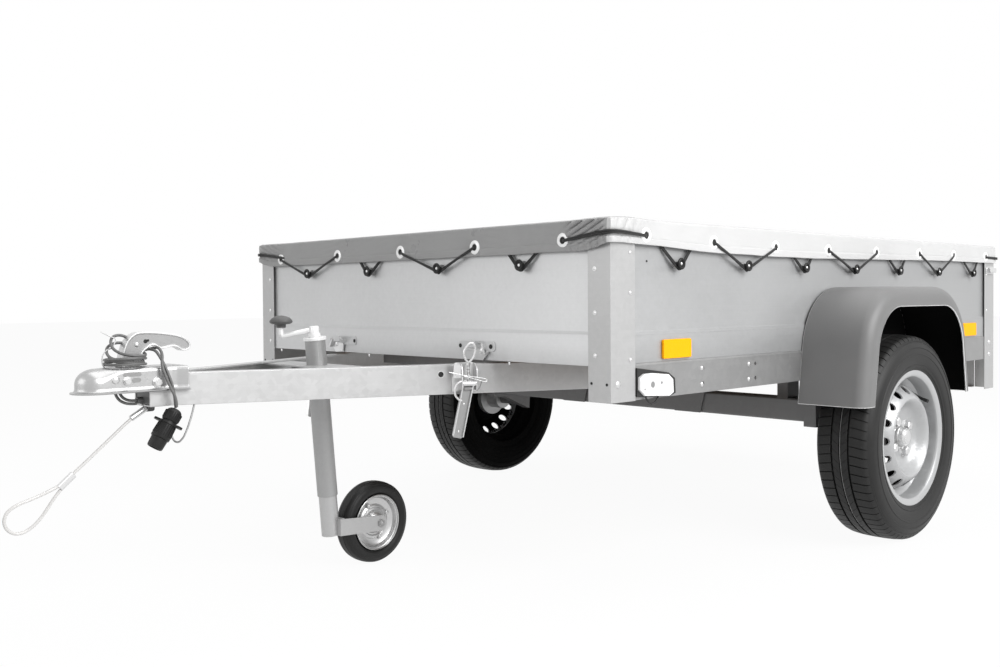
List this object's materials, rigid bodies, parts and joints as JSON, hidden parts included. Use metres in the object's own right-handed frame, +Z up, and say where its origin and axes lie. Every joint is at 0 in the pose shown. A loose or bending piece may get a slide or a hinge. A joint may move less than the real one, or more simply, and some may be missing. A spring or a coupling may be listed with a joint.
{
  "type": "utility trailer",
  "caption": "Single-axle tipping utility trailer with a plain steel box, flat tarpaulin, V drawbar with ball coupling, jockey wheel and drop tailgate.",
  "frame": {"origin": "centre of the base of the whole trailer, on the ground that the wheels stand on", "axes": "+Z up; the coupling points along -Y and the tailgate faces +Y; +X is the trailer's left side"},
  "size_m": [1.7254, 3.0207, 0.8153],
  "materials": {
    "galvanised_sheet": "hot-dip galvanised, satin",
    "galvanised_section": "hot-dip galvanised, matt",
    "zinc_fittings": "bright zinc",
    "silver_paint": "silver paint, satin",
    "hub_metal": "machined and zinc plated",
    "tyre": "matt rubber",
    "fender_plastic": "grained",
    "black_plastic": "matt",
    "lamp": "clear lens in a black rubber holder",
    "rear_lamp": "red and amber lens",
    "amber": "moulded prisms",
    "plywood": "film-faced plywood",
    "tarpaulin": "coated, satin",
    "cable_sheath": "satin",
    "coated_rope": "clear coating on steel strands"
  },
  "bodies": {
    "drawbar": {"axle": "galvanised_section", "cable_coil": "cable_sheath", "cable_lead": "cable_sheath", "cable_tail": "cable_sheath", "coupler_body": "zinc_fittings", "coupler_handle": "zinc_fittings", "cross_channel": "galvanised_section", "drawbar_latches": "zinc_fittings", "drawbar_leg_left": "galvanised_section", "drawbar_leg_right": "galvanised_section", "jockey_crank": "black_plastic", "jockey_tube": "zinc_fittings", "nose_block": "galvanised_section", "plug": "black_plastic", "plug_hook": "zinc_fittings", "rest_pads": "galvanised_section", "rope": "coated_rope", "rope_fittings": "zinc_fittings", "rope_loop": "coated_rope"},
    "tailgate_body": {"tailgate": "galvanised_sheet", "tarp_flap": "tarpaulin", "tarp_buttons_rear": "black_plastic"},
    "wheel_left": {"hub_left": "hub_metal", "rim_left": "silver_paint", "tyre_left": "tyre"},
    "wheel_right": {"hub_right": "hub_metal", "rim_right": "silver_paint", "tyre_right": "tyre"},
    "jockey_slider": {"jockey_spindle": "zinc_fittings"},
    "jockey_caster": {"jockey_fork": "zinc_fittings"},
    "jockey_wheel": {"jockey_rim": "zinc_fittings", "jockey_tyre": "tyre"},
    "bed": {"front_wall": "galvanised_sheet", "side_wall_left": "galvanised_sheet", "side_wall_right": "galvanised_sheet", "front_posts": "galvanised_sheet", "rear_posts": "galvanised_sheet", "chassis_rails": "galvanised_section", "floor": "plywood", "crossmembers": "galvanised_section", "rear_sill": "galvanised_section", "fenders": "fender_plastic", "marker_lamps": "lamp", "reflectors": "amber", "rear_lamp_bar": "galvanised_sheet", "rear_lamps": "rear_lamp", "tip_lugs": "galvanised_section", "hook_plates": "zinc_fittings", "tarp": "tarpaulin", "tarp_buttons": "black_plastic", "rear_latches": "black_plastic"}
  },
  "joints": [
    {"name": "bed_tip", "type": "hinge", "parent": "drawbar", "child": "bed", "pos_m": [0, 0.52135, 0.463], "axis": [-1, 0, 0], "range_deg": [0, 18]},
    {"name": "tailgate_drop", "type": "hinge", "parent": "bed", "child": "tailgate_body", "pos_m": [0, 1.43715, 0.498], "axis": [-1, 0, 0], "range_deg": [0, 180]},
    {"name": "wheel_left_spin", "type": "hinge", "parent": "drawbar", "child": "wheel_left", "pos_m": [0.779, 0.43825, 0.2735], "axis": [1, 0, 0], "continuous": true},
    {"name": "wheel_right_spin", "type": "hinge", "parent": "drawbar", "child": "wheel_right", "pos_m": [-0.779, 0.43825, 0.2735], "axis": [1, 0, 0], "continuous": true},
    {"name": "jockey_height", "type": "slide", "parent": "drawbar", "child": "jockey_slider", "axis": [0, 0.0837, -0.9965], "range_m": [-0.04, 0.15]},
    {"name": "jockey_swivel", "type": "hinge", "parent": "jockey_slider", "child": "jockey_caster", "pos_m": [0, -0.86765, 0.467], "axis": [0, -0.0837, 0.9965], "continuous": true},
    {"name": "jockey_roll", "type": "hinge", "parent": "jockey_caster", "child": "jockey_wheel", "pos_m": [-0.00667, -0.70852, 0.1], "axis": [0.9986, 0.0523, 0], "continuous": true}
  ]
}
